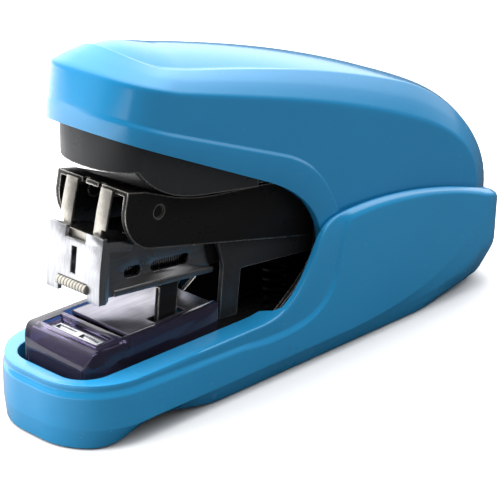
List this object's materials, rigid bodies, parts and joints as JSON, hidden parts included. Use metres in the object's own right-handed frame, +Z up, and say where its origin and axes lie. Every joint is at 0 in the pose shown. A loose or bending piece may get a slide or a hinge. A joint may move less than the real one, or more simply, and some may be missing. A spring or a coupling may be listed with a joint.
{
  "type": "stapler",
  "caption": "Hand-pressed flat-clinch stapler with a hinged handle, tilting magazine, driver arm and lifting clincher, shown open.",
  "frame": {"origin": "centre of the footprint, on the table", "axes": "+Z up, nose towards -Y, +X to the right-hand side seen from the nose end looking back"},
  "size_m": [0.0322, 0.121, 0.0697],
  "materials": {
    "blue_plastic": "gloss moulded ABS",
    "black_plastic": "fine moulded texture",
    "white_plastic": "satin acetal",
    "smoke_plastic": "clear smoked polycarbonate",
    "rubber": "matt",
    "black_steel": "black oxide with bright cut edges",
    "dark_steel": "dark grey coating, semi-gloss",
    "satin_steel": "satin",
    "bright_steel": "bright nickel plate",
    "blade_steel": "satin nickel",
    "spring_steel": "drawn wire",
    "staple_wire": "galvanised wire"
  },
  "bodies": {
    "base": {"base_shell": "blue_plastic", "bottom_cover": "black_plastic", "rubber_pads": "rubber", "base_screws": "bright_steel", "base_frame": "black_steel", "clincher_cover": "smoke_plastic", "table_plate": "satin_steel", "clincher_lever_pin": "bright_steel", "main_pin": "bright_steel", "handle_pin": "bright_steel", "pin_clips": "black_steel", "pin_spacers": "white_plastic", "return_spring": "spring_steel"},
    "magazine": {"magazine_channel": "satin_steel", "nose_plate": "bright_steel", "nose_bar": "white_plastic", "staple_rail": "satin_steel", "staple_strip": "staple_wire", "pusher_rod": "bright_steel", "pusher_spring": "spring_steel", "magazine_carrier": "dark_steel", "push_post": "black_steel", "carrier_rivets": "bright_steel"},
    "pusher": {"pusher": "black_plastic"},
    "arm": {"driver_arm": "black_steel", "driver_blade": "blade_steel", "arm_studs": "black_steel", "arm_spring": "spring_steel"},
    "handle": {"handle_cover": "blue_plastic", "handle_lever": "dark_steel", "handle_spring": "spring_steel", "cover_screws": "bright_steel"},
    "clincher": {"clincher_plate": "bright_steel", "clincher_lifter": "black_plastic"},
    "clinch_lever": {"clincher_lever": "satin_steel"}
  },
  "joints": [
    {"name": "handle_press", "type": "hinge", "parent": "base", "child": "handle", "pos_m": [0, 0.034, 0.019], "axis": [1, 0, 0], "range_deg": [0, 12.3], "stiffness_Nm_per_rad": 0.6},
    {"name": "arm_swing", "type": "hinge", "parent": "base", "child": "arm", "pos_m": [0, 0.024, 0.022], "axis": [1, 0, 0], "range_deg": [0, 11.9]},
    {"name": "magazine_swing", "type": "hinge", "parent": "base", "child": "magazine", "pos_m": [0, 0.024, 0.022], "axis": [1, 0, 0], "range_deg": [0, 5.2], "deforming": ["return_spring"]},
    {"name": "pusher_slide", "type": "slide", "parent": "magazine", "child": "pusher", "axis": [0, 0.9949, -0.1011], "range_m": [0, 0.017], "deforming": ["pusher_spring"]},
    {"name": "clincher_lift", "type": "slide", "parent": "base", "child": "clincher", "axis": [0, 0, 1], "range_m": [0, 0.00115]},
    {"name": "clinch_lever_tilt", "type": "hinge", "parent": "base", "child": "clinch_lever", "pos_m": [0, -0.045, 0.0095], "axis": [-1, 0, 0], "range_deg": [0, 21]}
  ],
  "couplings": [
    {"joint": "arm_swing", "follows": "handle_press", "ratio": 0.966},
    {"joint": "magazine_swing", "follows": "handle_press", "ratio": 0.422},
    {"joint": "clincher_lift", "follows": "handle_press", "m_per_rad": 0.00534},
    {"joint": "clinch_lever_tilt", "follows": "handle_press", "ratio": 1.7}
  ]
}
